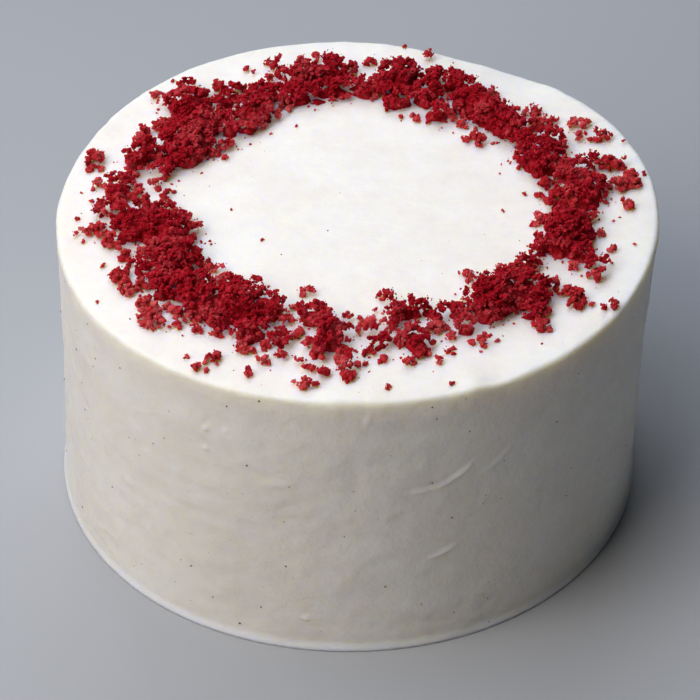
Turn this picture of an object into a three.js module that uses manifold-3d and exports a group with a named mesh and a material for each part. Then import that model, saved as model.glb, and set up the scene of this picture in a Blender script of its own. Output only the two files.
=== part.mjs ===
// A red velvet chiffon cake: one low round cake under a smooth coat of cream cheese cream, with a
// ragged wreath of red sponge crumbs heaped on its top and a few larger clumps of crumbs lying loose.
// Millimetres, +Z up, origin at the middle of the base. The front of the cake faces -Y.

import * as THREE from 'three';
import { mergeVertices } from 'three/addons/utils/BufferGeometryUtils.js';
import Module from 'manifold-3d';

const wasm = await Module();
wasm.setup();

// The coated cake.
const RADIUS = 79; // of the lip round the top
const HEIGHT = 84;
const FOOT_SHIFT = 1.9; // the foot stands this far to the left of the top
const WALL_INSET = 0.8; // the wall lies this far inside the lip
const WAIST = 0.5; // how much further in the middle of the wall is
const LIP_DEPTH = 4; // the lip fades into the wall this far below the top
const LIP_ROUND = 1.8; // from the edge to where the top is flat
const FOOT_FLARE = 0.8; // the cream spreads out again where the cake stands
const FOOT_HEIGHT = 3.2;
const SEGMENTS = 72; // round the cake
const WALL_STEPS = 4; // up the wall, between foot and lip

// The cake is slightly out of round: [lobes, cosine share, sine share] of the radius at the top.
const OUT_OF_ROUND = [
  [3, 0.008, 0.0],
  [4, -0.004, 0.0065],
  [5, -0.002, 0.002],
];
const FOOT_ROUNDNESS = 0.3; // share of the out-of-round left at the foot

// The crumbs.
const REST_GAP = 0.3; // clearance between crumbs and cream
const CRUMB_SPACING = 5.8; // least distance between neighbouring crumbs
const CRUMB_TRIES = 3; // places tried for each crumb that fits a heap
const CRUMB_RADIUS = [1.9, 3.1]; // smallest and largest
const CRUMB_SINK = 0.35; // share of a crumb's radius that is sunk in its heap
const CRUMB_JITTER = 0.2; // how uneven a crumb's corners are
const DOME_JITTER = 0.13; // of the domes under the crumbs
const SUNFLOWER_TURN = 2.39996; // radians from one crumb's place to the next
const FINE_DOME = 6.5; // a heap longer than this to each side has a finer dome
const BED_WIDTH = 7; // of the thin bed that runs round under the heaps
const BED_HEIGHT = 1.2;
const BED_DISTANCE = 0.69; // of its middle, as a share of the radius
const SLAB_TOP = 30; // well above the highest crumb

// The heaps of the wreath, anticlockwise from +X: bearing in degrees, distance from the middle as a
// share of the radius, half length along the wreath, half width across it, and height.
const HEAPS = [
  // right
  [346, 0.7, 10, 7.5, 7],
  [340, 0.77, 5.5, 4.5, 4],
  [337, 0.645, 4.5, 3.5, 3.5],
  [337, 0.845, 4.2, 4, 3.6],
  [357, 0.78, 5, 2.5, 3],
  [1, 0.66, 5, 4, 4],
  [5, 0.77, 8, 6, 6],
  [13, 0.755, 6.5, 6.4, 5],
  [17, 0.84, 3, 3, 3.5],
  [22, 0.67, 8, 6.5, 7],
  [25, 0.61, 3.6, 2.6, 2.6],
  [32, 0.67, 5, 4, 4],
  [29, 0.755, 4, 4, 4.5],
  [40, 0.67, 7, 5, 5.5],
  [39.5, 0.815, 5.5, 2.2, 2.4],
  // back right
  [47, 0.68, 6, 6.5, 6],
  [45, 0.76, 4, 2.5, 3],
  [55, 0.69, 6, 6.3, 6],
  [61, 0.75, 4.5, 5.5, 6],
  [62, 0.585, 5, 4.5, 4.5],
  [65, 0.8, 3.5, 3.5, 4.5],
  [69, 0.68, 5, 6.5, 5.5],
  [70, 0.785, 3, 4, 5],
  [77, 0.62, 6, 4, 5],
  [78, 0.74, 6, 6, 8],
  [87, 0.68, 7, 5, 5],
  // back
  [96, 0.76, 5, 5.5, 7.5],
  [97, 0.66, 7, 3.6, 4.6],
  [103, 0.63, 5, 3, 3.5],
  [104, 0.74, 6, 6, 7],
  [109, 0.66, 7, 4, 5],
  [109, 0.8, 2, 5, 5.5],
  [116, 0.71, 5, 4, 5],
  [123, 0.64, 6, 6.2, 6],
  [125, 0.76, 7, 4, 4],
  [129, 0.57, 5, 3.5, 4],
  // back left
  [131, 0.89, 3.5, 3, 3.5],
  [136, 0.81, 7, 6, 6.5],
  [138, 0.9, 3, 2.5, 3],
  [140, 0.7, 8, 6.5, 6],
  [134, 0.61, 5, 4.5, 4.5],
  [143, 0.565, 3.2, 3, 3.2],
  [150, 0.665, 8.5, 7.3, 7.5],
  [156, 0.65, 6, 6, 6],
  [160, 0.77, 8, 4.5, 6],
  [164, 0.67, 4.5, 3.2, 3.6],
  [166, 0.73, 5.5, 4, 3],
  // left
  [173, 0.79, 5, 4.5, 4],
  [171, 0.69, 3, 3, 2.5],
  [174, 0.73, 3, 2.6, 3],
  [178, 0.79, 5, 3.5, 4],
  [183, 0.84, 3.5, 3, 3.5],
  [184, 0.65, 4, 4, 4],
  [187, 0.58, 5, 2.5, 3],
  [188, 0.74, 8, 6.5, 6.5],
  [193, 0.79, 5, 4, 3.5],
  [195, 0.65, 8, 7, 7.5],
  [195, 0.565, 4.5, 2.5, 3],
  [205, 0.65, 8, 6.5, 7.5],
  [207, 0.59, 5, 3, 4],
  [206, 0.77, 5, 3.5, 4],
  [211, 0.73, 6, 5, 5],
  // front left
  [217, 0.77, 5.5, 4.5, 4.5],
  [221, 0.69, 6, 5.5, 6.5],
  [219, 0.575, 4.5, 2.5, 2.5],
  [227, 0.8, 4, 2.6, 3],
  [229, 0.72, 7, 5.5, 6.5],
  [231, 0.585, 7.5, 4, 4],
  [237, 0.67, 8, 6, 7.5],
  [235, 0.75, 7, 3.5, 4],
  [234, 0.53, 4, 2.5, 3],
  [243, 0.62, 5.5, 5.5, 6],
  [243, 0.74, 6, 5, 5],
  [251.5, 0.745, 3, 6, 3.5],
  [249, 0.635, 2.5, 3.2, 3],
  // front
  [257, 0.61, 5, 5, 5.5],
  [263, 0.69, 5.5, 6, 6.5],
  [261, 0.77, 3.8, 5.5, 4],
  [268, 0.81, 2.6, 6, 3],
  [269, 0.65, 3.5, 3, 3],
  [275, 0.66, 3.5, 4.5, 3],
  [276, 0.74, 3.6, 4.5, 3.5],
  [280, 0.63, 4, 4, 4],
  [281, 0.52, 2.5, 3.5, 3.5],
  [286, 0.59, 6.5, 4.2, 5],
  [284, 0.73, 5, 6, 5],
  [293, 0.63, 3.5, 4.5, 4],
  // front right
  [299, 0.65, 4.5, 4, 3.6],
  [298, 0.73, 4.5, 4.5, 4],
  [305, 0.625, 3, 4, 3.2],
  [306, 0.7, 5.5, 4.5, 5],
  [312, 0.67, 8.5, 7, 8],
  [319, 0.71, 6.5, 6.5, 6.5],
  [314, 0.79, 4, 4, 3.5],
  [326, 0.635, 6, 3.5, 4.5],
];

// The larger clumps beside the wreath: bearing, distance as a share of the radius, half length,
// half width, height, and the turn of the long side from the direction along the wreath.
const CLUMPS = [
  [9, 0.937, 3.8, 2.6, 3, 0],
  [26, 0.915, 4, 2.2, 2.8, 70],
  [32, 0.9, 4, 2.2, 2.6, 60],
  [42.7, 0.545, 3, 2.4, 3, 0],
  [164, 0.918, 4.8, 2.6, 3.2, 15],
  [189, 0.89, 3.6, 1.8, 2.2, 90],
  [208.7, 0.852, 6, 2.4, 2.6, 0],
  [222.5, 0.885, 4.4, 2.8, 3, 0],
  [240.8, 0.912, 2.6, 2, 2.2, 60],
  [324.7, 0.845, 4.8, 3, 3.2, 60],
];

// A repeatable draw between 0 and 1 (mulberry32).
function makeDraw(seed) {
  let state = seed;
  return () => {
    state = (state + 0x6d2b79f5) | 0;
    let mixed = Math.imul(state ^ (state >>> 15), 1 | state);
    mixed = (mixed + Math.imul(mixed ^ (mixed >>> 7), 61 | mixed)) ^ mixed;
    return ((mixed ^ (mixed >>> 14)) >>> 0) / 4294967296;
  };
}

let draw = makeDraw(0);
const between = (low, high) => low + (high - low) * draw();

function bareGeometry(geometry) {
  geometry.deleteAttribute('normal');
  geometry.deleteAttribute('uv');
  return mergeVertices(geometry, 1e-4);
}

function toSolid(geometry) {
  const vertProperties = new Float32Array(geometry.attributes.position.array);
  const triVerts = new Uint32Array(geometry.index.array);
  return new wasm.Manifold(new wasm.Mesh({ numProp: 3, vertProperties, triVerts }));
}

function toGeometry(solid) {
  const mesh = solid.getMesh();
  const geometry = new THREE.BufferGeometry();
  geometry.setAttribute('position', new THREE.BufferAttribute(mesh.vertProperties, mesh.numProp));
  geometry.setIndex(new THREE.BufferAttribute(mesh.triVerts, 1));
  return geometry;
}

// How far the edge at this bearing stands out, as a share of the radius.
function outOfRound(bearing) {
  return OUT_OF_ROUND.reduce(
    (sum, [lobes, cosine, sine]) =>
      sum + cosine * Math.cos(lobes * bearing) + sine * Math.sin(lobes * bearing),
    0,
  );
}

// Half the cake's section, from the middle of the base up the wall and over the lip.
function cakeProfile() {
  const wall = RADIUS - WALL_INSET;
  const points = [
    [0, 0],
    [wall + FOOT_FLARE * 0.6, 0],
    [wall + FOOT_FLARE, FOOT_HEIGHT * 0.25],
    [wall + FOOT_FLARE * 0.4, FOOT_HEIGHT * 0.6],
  ];
  for (let step = 0; step <= WALL_STEPS; step += 1) {
    const share = step / WALL_STEPS;
    const height = FOOT_HEIGHT + (HEIGHT - LIP_DEPTH - FOOT_HEIGHT) * share;
    points.push([wall - WAIST * Math.sin(Math.PI * share), height]);
  }
  points.push(
    [RADIUS - WALL_INSET * 0.3, HEIGHT - LIP_DEPTH * 0.65],
    [RADIUS, HEIGHT - LIP_DEPTH * 0.4],
    [RADIUS - WALL_INSET * 0.3, HEIGHT - LIP_DEPTH * 0.12],
    [RADIUS - LIP_ROUND, HEIGHT],
    [RADIUS * 0.5, HEIGHT],
    [0, HEIGHT],
  );
  return points.map(([x, y]) => new THREE.Vector2(x, y));
}

// The coated cake: its section turned about the axis, then put out of round and leant.
function cakeGeometry() {
  const geometry = new THREE.LatheGeometry(cakeProfile(), SEGMENTS);
  geometry.rotateX(Math.PI / 2);
  const position = geometry.attributes.position;
  for (let i = 0; i < position.count; i += 1) {
    const [x, y, z] = [position.getX(i), position.getY(i), position.getZ(i)];
    const share = z / HEIGHT;
    const lobes = FOOT_ROUNDNESS + (1 - FOOT_ROUNDNESS) * share;
    const stretch = 1 + outOfRound(Math.atan2(y, x)) * lobes;
    position.setXYZ(i, x * stretch - FOOT_SHIFT * (1 - share), y * stretch, z);
  }
  return bareGeometry(geometry);
}

// A rounded lump with uneven corners, centred on the origin.
function lump(detail, radii, jitter) {
  const geometry = bareGeometry(new THREE.IcosahedronGeometry(1, detail));
  const position = geometry.attributes.position;
  const corner = new THREE.Vector3();
  for (let i = 0; i < position.count; i += 1) {
    corner.fromBufferAttribute(position, i).multiplyScalar(1 + jitter * (2 * draw() - 1));
    position.setXYZ(i, corner.x, corner.y, corner.z);
  }
  geometry.scale(...radii);
  return geometry;
}

// A crumb at a place: longer than wide, and turned at random.
function crumb(place) {
  const size = between(...CRUMB_RADIUS);
  const radii = [size * between(1.0, 1.4), size * between(0.8, 1.05), size * between(0.75, 1.0)];
  const turn = new THREE.Euler(between(0, Math.PI), between(0, Math.PI), between(0, Math.PI));
  const geometry = lump(0, radii, CRUMB_JITTER);
  geometry.applyMatrix4(new THREE.Matrix4().makeRotationFromEuler(turn));
  geometry.translate(place.x, place.y, place.z - size * CRUMB_SINK);
  return toSolid(geometry);
}

// Places for crumbs over a heap's dome, in a sunflower spiral, clear of the places already taken.
function crumbPlaces(halfLength, halfWidth, height, toPlace, taken) {
  const fitting = (Math.PI * halfLength * halfWidth) / CRUMB_SPACING ** 2;
  const tries = Math.ceil(fitting * CRUMB_TRIES);
  const places = [];
  for (let i = 0; i < tries; i += 1) {
    const out = Math.sqrt((i + 0.5) / tries) * between(0.92, 1.05);
    const round = i * SUNFLOWER_TURN;
    const rise = Math.sqrt(Math.max(0, 1 - out * out));
    const place = new THREE.Vector3(
      halfLength * out * Math.cos(round),
      halfWidth * out * Math.sin(round),
      height * rise + CRUMB_RADIUS[0] * 0.5,
    ).applyMatrix4(toPlace);
    if (taken.every((other) => other.distanceTo(place) > CRUMB_SPACING)) {
      taken.push(place);
      places.push(place);
    }
  }
  return places;
}

// One heap: a low dome with crumbs set over it.
function heap([bearing, share, halfLength, halfWidth, height, turn = 0], taken) {
  draw = makeDraw(Math.round(bearing * 100 + share * 1000)); // each heap keeps its own crumbs
  const angle = THREE.MathUtils.degToRad(bearing);
  const distance = share * RADIUS;
  const along = angle + Math.PI / 2 + THREE.MathUtils.degToRad(turn);
  const toPlace = new THREE.Matrix4()
    .makeRotationZ(along)
    .setPosition(distance * Math.cos(angle), distance * Math.sin(angle), HEIGHT);
  const detail = halfLength > FINE_DOME ? 1 : 0;
  const dome = lump(detail, [halfLength, halfWidth, height], DOME_JITTER).applyMatrix4(toPlace);
  const places = crumbPlaces(halfLength, halfWidth, height, toPlace, taken);
  return [toSolid(dome), ...places.map(crumb)];
}

// The largest connected shell of a geometry. It drops loose scraps, and the shells of sealed
// hollows, so that those are filled.
function largestShell(geometry) {
  const index = geometry.index.array;
  const leader = Array.from({ length: geometry.attributes.position.count }, (_, i) => i);
  const find = (corner) => {
    let found = corner;
    while (leader[found] !== found) {
      leader[found] = leader[leader[found]];
      found = leader[found];
    }
    return found;
  };
  for (let i = 0; i < index.length; i += 3) {
    leader[find(index[i])] = find(index[i + 1]);
    leader[find(index[i + 1])] = find(index[i + 2]);
  }
  const shells = new Map();
  for (let i = 0; i < index.length; i += 3) {
    const shell = find(index[i]);
    shells.set(shell, [...(shells.get(shell) ?? []), index[i], index[i + 1], index[i + 2]]);
  }
  const largest = [...shells.values()].reduce((best, shell) => (shell.length > best.length ? shell : best));
  geometry.setIndex(largest);
  return geometry;
}

// The thin bed of fine crumbs that joins the heaps: a flat ring with bevelled sides.
function bed() {
  const middle = BED_DISTANCE * RADIUS;
  const section = [
    [middle - BED_WIDTH / 2, 0],
    [middle + BED_WIDTH / 2, 0],
    [middle + BED_WIDTH / 4, BED_HEIGHT],
    [middle - BED_WIDTH / 4, BED_HEIGHT],
    [middle - BED_WIDTH / 2, 0],
  ].map(([x, y]) => new THREE.Vector2(x, y));
  const geometry = new THREE.LatheGeometry(section, SEGMENTS / 2);
  geometry.rotateX(Math.PI / 2);
  geometry.translate(0, 0, HEIGHT);
  return toSolid(bareGeometry(geometry));
}

// The solids joined and cut off flat just above the cream.
function joinedOnTop(solids) {
  const slab = new THREE.BoxGeometry(4 * RADIUS, 4 * RADIUS, SLAB_TOP);
  slab.translate(0, 0, HEIGHT + REST_GAP + SLAB_TOP / 2);
  const joined = solids.reduce((sum, solid) => sum.add(solid));
  return largestShell(toGeometry(joined.intersect(toSolid(bareGeometry(slab)))));
}

const cream = new THREE.MeshStandardMaterial({ color: 0xf0e9e0, roughness: 0.55, metalness: 0 });
const redCrumb = new THREE.MeshStandardMaterial({ color: 0x7c1420, roughness: 0.9, metalness: 0 });

function namedMesh(name, geometry, material) {
  const mesh = new THREE.Mesh(geometry, material.clone());
  mesh.name = name;
  return mesh;
}

const cake = namedMesh('cake', cakeGeometry(), cream);
const taken = [];
const wreath = namedMesh(
  'crumb_wreath',
  joinedOnTop([bed(), ...HEAPS.flatMap((row) => heap(row, taken))]),
  redCrumb,
);
const clumps = CLUMPS.map((row, i) =>
  namedMesh(`crumb_clump_${String(i + 1).padStart(2, '0')}`, joinedOnTop(heap(row, [])), redCrumb),
);

// The origin goes to the middle of the base.
const middle = new THREE.Box3().setFromObject(cake).getCenter(new THREE.Vector3());
const group = new THREE.Group();
group.add(cake, wreath, ...clumps);
group.position.set(-middle.x, -middle.y, 0);

export default group;
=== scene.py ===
"""A red velvet chiffon cake under cream, its top dressed with a ragged wreath of red sponge crumbs.

The cream is one closed surface turned about the cake's axis and then marked by the knife. The crumbs
are a packed bed along the heaps of the wreath, and over and beside it small clusters of coarse grains,
fine grains and dust. Metres, +Z up, the front of the cake faces -Y.
"""

import logging
import math
from dataclasses import dataclass, field
from enum import Enum

import bpy
import numpy as np
from mathutils import Matrix, Vector


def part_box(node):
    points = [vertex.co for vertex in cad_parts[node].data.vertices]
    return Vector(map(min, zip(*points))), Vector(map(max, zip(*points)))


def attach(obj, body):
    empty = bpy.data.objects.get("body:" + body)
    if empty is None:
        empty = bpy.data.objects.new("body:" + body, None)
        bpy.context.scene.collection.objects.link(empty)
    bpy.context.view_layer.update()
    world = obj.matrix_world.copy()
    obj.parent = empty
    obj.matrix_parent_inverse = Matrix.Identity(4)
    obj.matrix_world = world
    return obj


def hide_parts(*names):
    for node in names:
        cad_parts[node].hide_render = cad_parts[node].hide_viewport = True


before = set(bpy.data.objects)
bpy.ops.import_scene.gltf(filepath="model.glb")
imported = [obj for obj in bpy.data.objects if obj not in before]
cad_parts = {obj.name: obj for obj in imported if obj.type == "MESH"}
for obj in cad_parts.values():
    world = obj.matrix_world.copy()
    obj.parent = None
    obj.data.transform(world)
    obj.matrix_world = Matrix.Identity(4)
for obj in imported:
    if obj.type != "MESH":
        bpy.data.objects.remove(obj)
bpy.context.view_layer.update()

LOG = logging.getLogger("cake")
MM = 0.001


class Slot(Enum):
    """The material slots of the part."""

    CREAM = "cream"
    CRUMB = "red_crumb"


class Shading(Enum):
    """How a piece's faces catch the light."""

    SMOOTH = True
    FACETED = False


# ---------------------------------------------------------------------------------------------
# Noise and shapes shared by the pieces
# ---------------------------------------------------------------------------------------------


def lattice_values(cells: np.ndarray, seed: int) -> np.ndarray:
    """A repeatable value for each cell of a lattice.

    The cell's whole-number coordinates are multiplied by large odd numbers, mixed together with the
    seed by shifts, and the low bits are scaled to run from 0 to 1.

    Args:
        cells: whole numbers, with the coordinates in the last axis.
        seed: picks one of many unrelated sets of values.

    Returns:
        One value from 0 to 1 for each cell.
    """
    factors = np.array([73856093, 19349663, 83492791], dtype=np.int64)[: cells.shape[-1]]
    mixed = (np.bitwise_xor.reduce(cells * factors, axis=-1) + seed * 974711) & 0xFFFFFFFF
    for shift in (15, 13):
        mixed = ((mixed ^ (mixed >> shift)) * 1274126177) & 0xFFFFFFFF
    return ((mixed ^ (mixed >> 16)) & 0xFFFFFF) / float(0x1000000)


def smooth_noise(points: np.ndarray, size: float, seed: int) -> np.ndarray:
    """Soft noise from -1 to 1 whose features are about as wide as size.

    Each corner of the lattice cell that a point lies in has a random value, and the corners are
    blended by the smooth step 3t^2 - 2t^3 of the point's place in the cell.

    Args:
        points: coordinates in the last axis, two or three of them.
        size: the lattice's spacing, in the same unit.
        seed: picks the noise.

    Returns:
        One value for each point.
    """
    scaled = points / size
    base = np.floor(scaled).astype(np.int64)
    share = scaled - base
    share = share * share * (3 - 2 * share)
    total = np.zeros(points.shape[:-1])
    for corner in np.ndindex(*(2,) * points.shape[-1]):
        step = np.array(corner)
        weight = np.prod(np.where(step == 1, share, 1 - share), axis=-1)
        total += weight * lattice_values(base + step, seed)
    return 2 * total - 1


def layered_noise(points: np.ndarray, layers: tuple, seed: int) -> np.ndarray:
    """The sum of soft noises, each given by its strength, its size in mm and its step from the seed."""
    return sum(strength * smooth_noise(points, size * MM, seed + step) for strength, size, step in layers)


def rounded_cells(points: np.ndarray, size: float, seed: int) -> np.ndarray:
    """Close-packed round bumps from 0 in the creases to 1 on the crowns.

    Every lattice cell has one crown at a random place in it. The height at a point is one less the
    square of the distance to the nearest crown, in cell sizes, and never under zero.

    Args:
        points: coordinates in the last axis, two of them.
        size: the lattice's spacing, in the same unit.
        seed: picks the bumps.

    Returns:
        One height for each point.
    """
    scaled = points / size
    base = np.floor(scaled).astype(np.int64)
    nearest = np.full(points.shape[:-1], np.inf)
    for offset in np.ndindex(3, 3):
        cell = base + np.array(offset) - 1
        crown = cell + np.stack([lattice_values(cell, seed), lattice_values(cell, seed + 1)], axis=-1)
        nearest = np.minimum(nearest, np.sum((scaled - crown) ** 2, axis=-1))
    return np.maximum(0.0, 1.0 - nearest)


def smooth_step(values: np.ndarray, low: float, high: float) -> np.ndarray:
    """Values eased from 0 at low to 1 at high by 3t^2 - 2t^3."""
    share = np.clip((values - low) / (high - low), 0.0, 1.0)
    return share * share * (3 - 2 * share)


def angle_between(bearings: np.ndarray, degrees: float) -> np.ndarray:
    """How many degrees bearings in radians lie from one bearing in degrees, from -180 to 180."""
    return (np.degrees(bearings) - degrees + 180.0) % 360.0 - 180.0


def bell(bearings: np.ndarray, degrees: float, half_width: float, power: int) -> np.ndarray:
    """A bell curve about one bearing in degrees, flatter on top for a higher even power."""
    return np.exp(-((angle_between(bearings, degrees) / half_width) ** power))


def mesh_piece(
    name: str,
    points: np.ndarray,
    faces: list[np.ndarray],
    material: bpy.types.Material,
    shading: Shading,
) -> bpy.types.Object:
    """A mesh object at the origin from arrays.

    Args:
        name: the piece's name.
        points: vertices, n by 3, in metres.
        faces: arrays of vertex numbers, one row a face; each array holds faces of one kind.
        material: the finish.
        shading: smooth or faceted.

    Returns:
        The object, linked into the scene.
    """
    mesh = bpy.data.meshes.new(name)
    mesh.vertices.add(len(points))
    mesh.vertices.foreach_set("co", points.astype(np.float32).ravel())
    corners = np.concatenate([kind.ravel() for kind in faces]).astype(np.int32)
    sides = np.concatenate([np.full(len(kind), kind.shape[1]) for kind in faces])
    starts = np.concatenate([[0], np.cumsum(sides)[:-1]]).astype(np.int32)
    mesh.loops.add(len(corners))
    mesh.loops.foreach_set("vertex_index", corners)
    mesh.polygons.add(len(starts))
    mesh.polygons.foreach_set("loop_start", starts)
    mesh.polygons.foreach_set("use_smooth", np.full(len(starts), shading.value))
    mesh.materials.append(material)
    mesh.update(calc_edges=True)
    mesh.validate()
    piece = bpy.data.objects.new(name, mesh)
    bpy.context.scene.collection.objects.link(piece)
    return piece


def dress(piece: bpy.types.Object, slot: Slot, nodes: list[str]) -> bpy.types.Object:
    """Puts a piece on the cake in place of some nodes, and logs it.

    Args:
        piece: the finished piece.
        slot: a material slot; not used.
        nodes: the nodes that it stands for.

    Returns:
        The same piece.
    """
    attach(piece, "root")
    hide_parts(*nodes)
    triangles = sum(len(polygon.vertices) - 2 for polygon in piece.data.polygons)
    LOG.info("%s: %d triangles for %d nodes", piece.name, triangles, len(nodes))
    return piece


def icosahedron() -> tuple[np.ndarray, np.ndarray]:
    """A regular solid of twenty triangles in the unit sphere.

    Its corners are the cyclic turns of (0, ±1, ±golden ratio), and three corners make a face where
    each pair of them is one edge apart.

    Returns:
        Its vertices, 12 by 3, and its triangles, 20 by 3, facing out.
    """
    golden = (1 + math.sqrt(5)) / 2
    flat = np.array([[0, a, b * golden] for a in (-1, 1) for b in (-1, 1)])
    points = np.concatenate([np.roll(flat, turn, axis=1) for turn in range(3)])
    points /= np.linalg.norm(points[0])
    gaps = np.linalg.norm(points[:, None] - points[None], axis=-1)
    near = (gaps > 0.1) & (gaps < 1.1)
    a, b, c = np.nonzero(near[:, :, None] & near[None] & near[:, None, :])
    faces = np.stack([a, b, c], axis=1)[(a < b) & (b < c)]
    out = np.einsum("ij,ij->i", np.cross(points[faces[:, 0]], points[faces[:, 1]]), points[faces[:, 2]])
    faces[out < 0] = faces[out < 0][:, ::-1]
    return points, faces


def random_turns(count: int, draw: np.random.Generator) -> np.ndarray:
    """Evenly random rotation matrices, count by 3 by 3.

    Four normal draws scaled to length one are a quaternion w, x, y, z, and the matrix is the usual
    sum of its products.

    Args:
        count: how many there are.
        draw: the random draws.

    Returns:
        The matrices.
    """
    drawn = draw.normal(size=(4, count))
    w, x, y, z = drawn / np.linalg.norm(drawn, axis=0)
    rows = [
        [1 - 2 * (y * y + z * z), 2 * (x * y - z * w), 2 * (x * z + y * w)],
        [2 * (x * y + z * w), 1 - 2 * (x * x + z * z), 2 * (y * z - x * w)],
        [2 * (x * z - y * w), 2 * (y * z + x * w), 1 - 2 * (x * x + y * y)],
    ]
    return np.moveaxis(np.array(rows), -1, 0)


# ---------------------------------------------------------------------------------------------
# Finishes
# ---------------------------------------------------------------------------------------------


class Nodes:
    """A material's node tree, with short calls that add a node and join two sockets."""

    def __init__(self, name: str) -> None:
        """Starts a material with one Principled shader."""
        self.material = bpy.data.materials.new(name)
        self.material.use_nodes = True
        self.tree = self.material.node_tree
        self.shader = self.tree.nodes["Principled BSDF"]
        self.place = self.add("ShaderNodeTexCoord").outputs["Object"]

    def add(self, kind: str, **values: object) -> bpy.types.Node:
        """Adds a node and sets the inputs that are given by name.

        Args:
            kind: the node's type.
            values: inputs by name, with _ for a space; a socket is linked and a value is set.

        Returns:
            The node.
        """
        node = self.tree.nodes.new(kind)
        for key, value in values.items():
            self.put(node.inputs[key.replace("_", " ")], value)
        return node

    def put(self, socket: bpy.types.NodeSocket, value: object) -> None:
        """Links a socket into an input, or sets a plain value on it."""
        if isinstance(value, bpy.types.NodeSocket):
            self.tree.links.new(value, socket)
        else:
            socket.default_value = value

    def noise(self, size: float, detail: float = 2.0, rough: float = 0.5) -> bpy.types.NodeSocket:
        """Noise whose largest features are about size metres wide."""
        node = self.add(
            "ShaderNodeTexNoise", Vector=self.place, Scale=1 / size, Detail=detail, Roughness=rough
        )
        return node.outputs["Fac"]

    def cells(self, size: float) -> bpy.types.NodeSocket:
        """Distance to the nearest of random points about size metres apart."""
        node = self.add("ShaderNodeTexVoronoi", Vector=self.place, Scale=1 / size)
        return node.outputs["Distance"]

    def ramp(self, value: bpy.types.NodeSocket, stops: list[tuple[float, tuple]]) -> bpy.types.NodeSocket:
        """Colours a value.

        Args:
            value: the value, from 0 to 1.
            stops: places along it and the linear colour at each.

        Returns:
            The colour.
        """
        node = self.add("ShaderNodeValToRGB", Fac=value)
        band = node.color_ramp
        while len(band.elements) < len(stops):
            band.elements.new(0.5)
        for element, (place, colour) in zip(band.elements, stops):
            element.position = place
            element.color = (*colour, 1.0)
        return node.outputs["Color"]

    def sum(self, parts: list[tuple[bpy.types.NodeSocket, float]]) -> bpy.types.NodeSocket:
        """Adds values up.

        Args:
            parts: each value and its weight.

        Returns:
            The weighted sum.
        """
        total = None
        for value, weight in parts:
            node = self.add("ShaderNodeMath")
            node.operation = "MULTIPLY_ADD"
            self.put(node.inputs[0], value)
            self.put(node.inputs[1], weight)
            self.put(node.inputs[2], 0.0 if total is None else total)
            total = node.outputs[0]
        return total

    def bump(self, height: bpy.types.NodeSocket, distance: float, strength: float) -> None:
        """Bumps the shader's surface by a height from 0 to 1 that stands for distance metres."""
        node = self.add("ShaderNodeBump", Height=height, Distance=distance, Strength=strength)
        self.put(self.shader.inputs["Normal"], node.outputs["Normal"])

    def set(self, **values: object) -> None:
        """Sets or links inputs of the shader by name, with _ for a space."""
        for key, value in values.items():
            self.put(self.shader.inputs[key.replace("_", " ")], value)


@dataclass(frozen=True)
class CreamFinish:
    """Spread cream cheese cream: off-white, softly lit from within, satin, a little uneven."""

    pale: tuple = (0.90, 0.848, 0.782)
    warm: tuple = (0.855, 0.785, 0.705)
    roughness: tuple = (0.42, 0.6)
    depth: float = 4.8 * MM  # that light travels inside it
    travel: tuple = (1.0, 0.84, 0.24)  # of red, green and blue, as shares of the depth

    def material(self) -> bpy.types.Material:
        """Builds the material: two creams mixed by broad clouds, with fine pits and knife grain."""
        nodes = Nodes("cream")
        clouds = nodes.sum([(nodes.noise(22 * MM, 3.0), 0.6), (nodes.noise(4.5 * MM, 3.0, 0.6), 0.4)])
        nodes.set(Base_Color=nodes.ramp(clouds, [(0.38, self.warm), (0.62, self.pale)]))
        low, high = self.roughness
        rough = nodes.add("ShaderNodeMapRange", Value=nodes.noise(6 * MM), To_Min=low, To_Max=high)
        nodes.set(Roughness=rough.outputs["Result"], Specular_IOR_Level=0.3)
        nodes.set(Subsurface_Weight=0.7, Subsurface_Radius=self.travel, Subsurface_Scale=self.depth)
        grain = nodes.sum([(nodes.noise(1.1 * MM, 3.0, 0.6), 0.5), (nodes.noise(5 * MM, 2.0), 1.0)])
        nodes.bump(grain, 0.3 * MM, 0.8)
        return nodes.material


@dataclass(frozen=True)
class CrumbFinish:
    """Moist red velvet sponge crumb: deep crimson, rough, darker and lighter from crumb to crumb."""

    name: str = "red_crumb"
    dark: tuple = (0.27, 0.0007, 0.004)
    middle: tuple = (0.38, 0.0045, 0.014)
    light: tuple = (0.60, 0.066, 0.074)
    roughness: float = 0.8
    depth: float = 1.0 * MM  # that light travels inside it
    travel: tuple = (1.0, 0.16, 0.17)  # of red, green and blue, as shares of the depth

    def material(self) -> bpy.types.Material:
        """Builds the material: three reds by the crumb, with a porous bump."""
        nodes = Nodes(self.name)
        tone = nodes.sum([(nodes.noise(9 * MM, 2.0), 0.45), (nodes.noise(1.6 * MM, 4.0, 0.65), 0.55)])
        nodes.set(Base_Color=nodes.ramp(tone, [(0.34, self.dark), (0.5, self.middle), (0.68, self.light)]))
        nodes.set(Roughness=self.roughness, Specular_IOR_Level=0.1)
        nodes.set(Subsurface_Weight=0.5, Subsurface_Radius=self.travel, Subsurface_Scale=self.depth)
        pores = nodes.sum([(nodes.noise(0.5 * MM, 3.0, 0.6), 1.0), (nodes.cells(0.7 * MM), 0.6)])
        nodes.bump(pores, 0.2 * MM, 0.8)
        return nodes.material


# Crumbs that lie thin on the cream, which shines through them: painted light, a lighter and pinker copy of
# the crumb's colours that stands in for the cream's light coming through them.
THIN_CRUMB_PAINTED_GLOW = CrumbFinish("thin_crumb", (0.31, 0.003, 0.008), (0.50, 0.025, 0.031), (0.76, 0.14, 0.138))


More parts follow.
